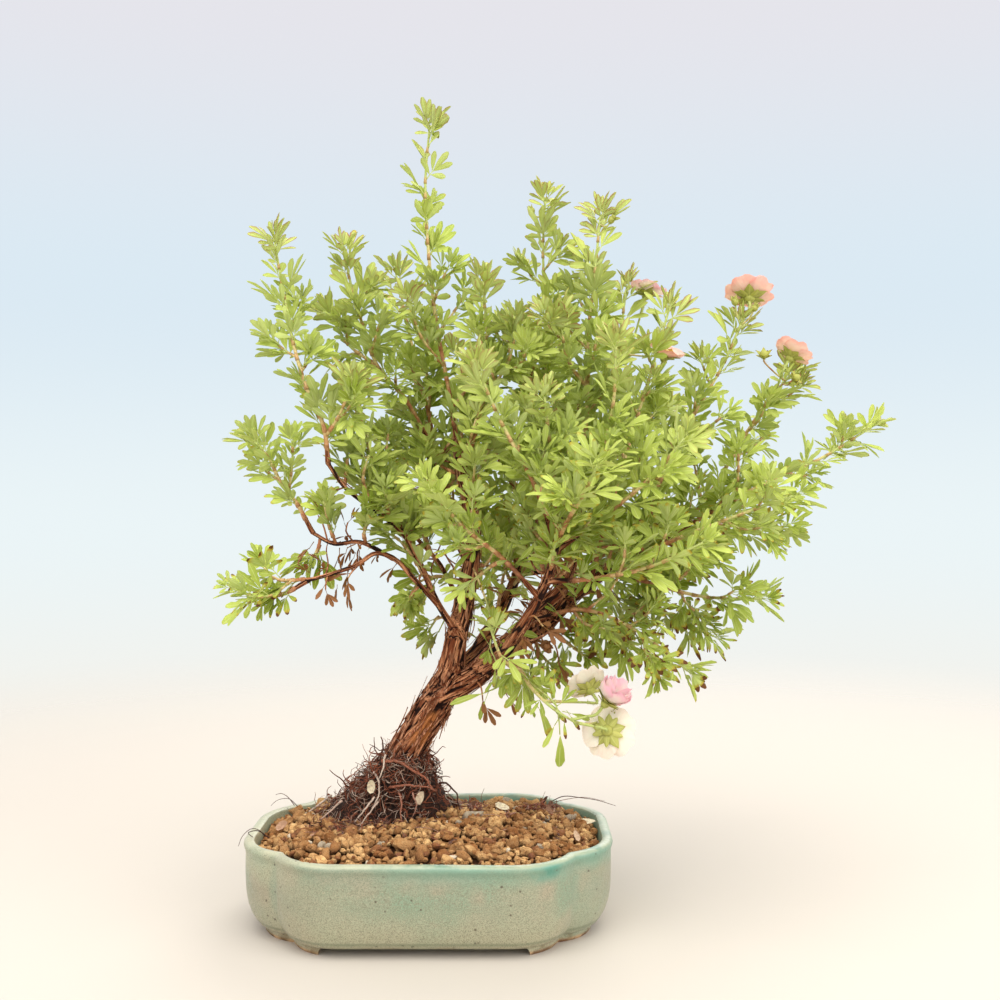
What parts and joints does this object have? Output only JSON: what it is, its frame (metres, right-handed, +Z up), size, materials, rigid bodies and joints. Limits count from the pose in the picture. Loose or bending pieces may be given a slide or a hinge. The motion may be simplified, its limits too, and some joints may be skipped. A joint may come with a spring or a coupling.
{
  "type": "shrubby cinquefoil bonsai",
  "caption": "Shrubby cinquefoil bonsai with leaning trunk, exposed roots and pale pink flowers in a glazed rectangular pot with grooved corners.",
  "frame": {"origin": "middle of the footprint of the whole bonsai, on the surface that the pot stands on", "axes": "+Z up, +X to the right along the pot's long side, +Y away from the viewer of the front"},
  "size_m": [0.324, 0.2224, 0.3907],
  "materials": {
    "glaze": "glossy sage-green glaze, turquoise where it pools",
    "screen_plastic": "matte black",
    "clay_granules": "dry, dusty tan granules",
    "root_fibre": "dark fibrous roots",
    "bark": "reddish-brown bark that peels in strips",
    "leaf": "soft satin leaf, lighter at the rib and edge",
    "calyx": "matte green sepals",
    "stamen": "matte yellow",
    "petal_cream": "soft, thin petal",
    "petal_pink": "soft, thin petal",
    "petal_salmon": "soft, thin petal"
  },
  "bodies": {
    "root": {"pot": "glaze", "drain_screen_left": "screen_plastic", "drain_screen_right": "screen_plastic", "soil": "clay_granules", "root_mound": "root_fibre", "wood": "bark", "spray_back_centre": "leaf", "spray_back_far_left": "leaf", "spray_back_left": "leaf", "spray_back_low": "leaf", "spray_back_right": "leaf", "spray_centre": "leaf", "spray_crown_top": "leaf", "spray_far_right": "leaf", "spray_flowering": "leaf", "spray_front_centre": "leaf", "spray_front_high": "leaf", "spray_front_left": "leaf", "spray_front_low": "leaf", "spray_front_out": "leaf", "spray_front_right": "leaf", "spray_front_right_low": "leaf", "spray_left_back": "leaf", "spray_left_leader": "leaf", "spray_left_tall": "leaf", "spray_low_centre": "leaf", "spray_low_front": "leaf", "spray_low_left": "leaf", "spray_mid_left": "leaf", "spray_mid_peak": "leaf", "spray_right_back_peak": "leaf", "spray_right_front": "leaf", "spray_right_inner": "leaf", "spray_right_low": "leaf", "spray_right_mid": "leaf", "spray_right_peak": "leaf", "spray_right_tall": "leaf", "spray_right_upper": "leaf", "spray_thin_left": "leaf", "flower_cream_lower_calyx": "calyx", "flower_cream_lower_petals": "petal_cream", "flower_cream_lower_stamens": "stamen", "flower_cream_upper_calyx": "calyx", "flower_cream_upper_petals": "petal_cream", "flower_cream_upper_stamens": "stamen", "flower_high_calyx": "calyx", "flower_high_petals": "petal_pink", "flower_high_stamens": "stamen", "flower_inner_calyx": "calyx", "flower_inner_petals": "petal_salmon", "flower_inner_stamens": "stamen", "flower_pink_cup_calyx": "calyx", "flower_pink_cup_petals": "petal_pink", "flower_pink_cup_stamens": "stamen", "flower_right_calyx": "calyx", "flower_right_petals": "petal_salmon", "flower_right_stamens": "stamen", "flower_tall_calyx": "calyx", "flower_tall_petals": "petal_salmon", "flower_tall_stamens": "stamen"}
  },
  "joints": []
}
